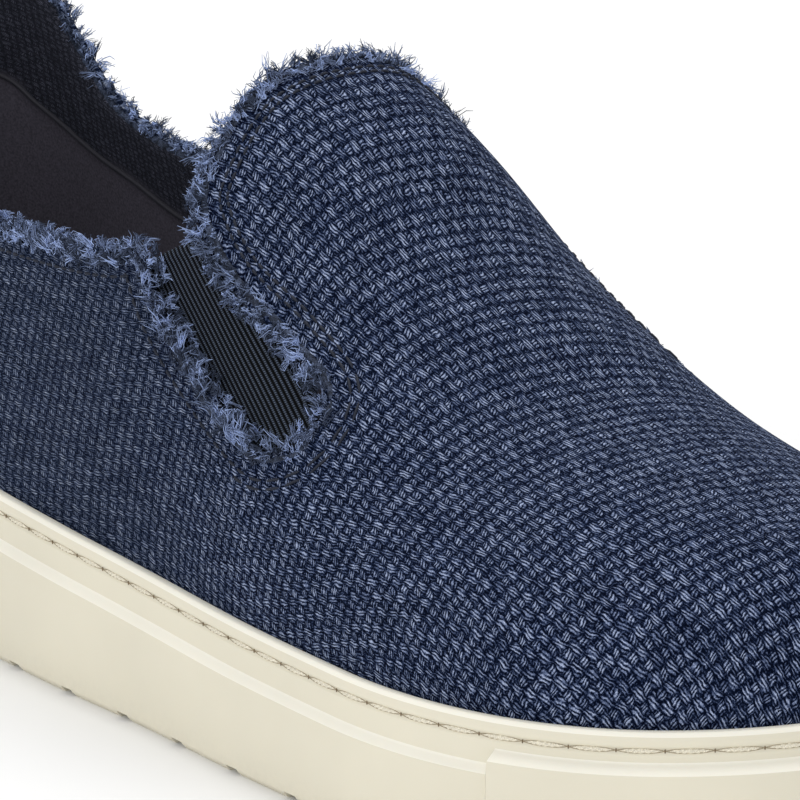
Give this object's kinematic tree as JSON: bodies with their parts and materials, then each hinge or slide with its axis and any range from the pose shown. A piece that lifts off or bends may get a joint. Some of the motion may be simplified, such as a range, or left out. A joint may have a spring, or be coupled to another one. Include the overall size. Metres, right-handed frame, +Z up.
{
  "type": "slip-on shoe",
  "caption": "Right canvas slip-on shoe with frayed edges, elastic side gores and a moulded off-white cup sole.",
  "frame": {"origin": "middle of the sole's outline on the ground, centre of the box in plan", "axes": "+X to the toe, +Y to the wearer's left, which is the inner side of this right shoe, +Z up"},
  "size_m": [0.3004, 0.1024, 0.0993],
  "materials": {
    "sole_rubber": "off-white moulded rubber, satin",
    "footbed": "dark smooth textile footbed, matte",
    "canvas": "coarse navy basket weave with frayed edges, matte",
    "elastic": "black ribbed elastic, matte"
  },
  "bodies": {
    "root": {"cupsole": "sole_rubber", "insole": "footbed", "upper": "canvas", "gore_lateral": "elastic", "gore_medial": "elastic"}
  },
  "joints": []
}
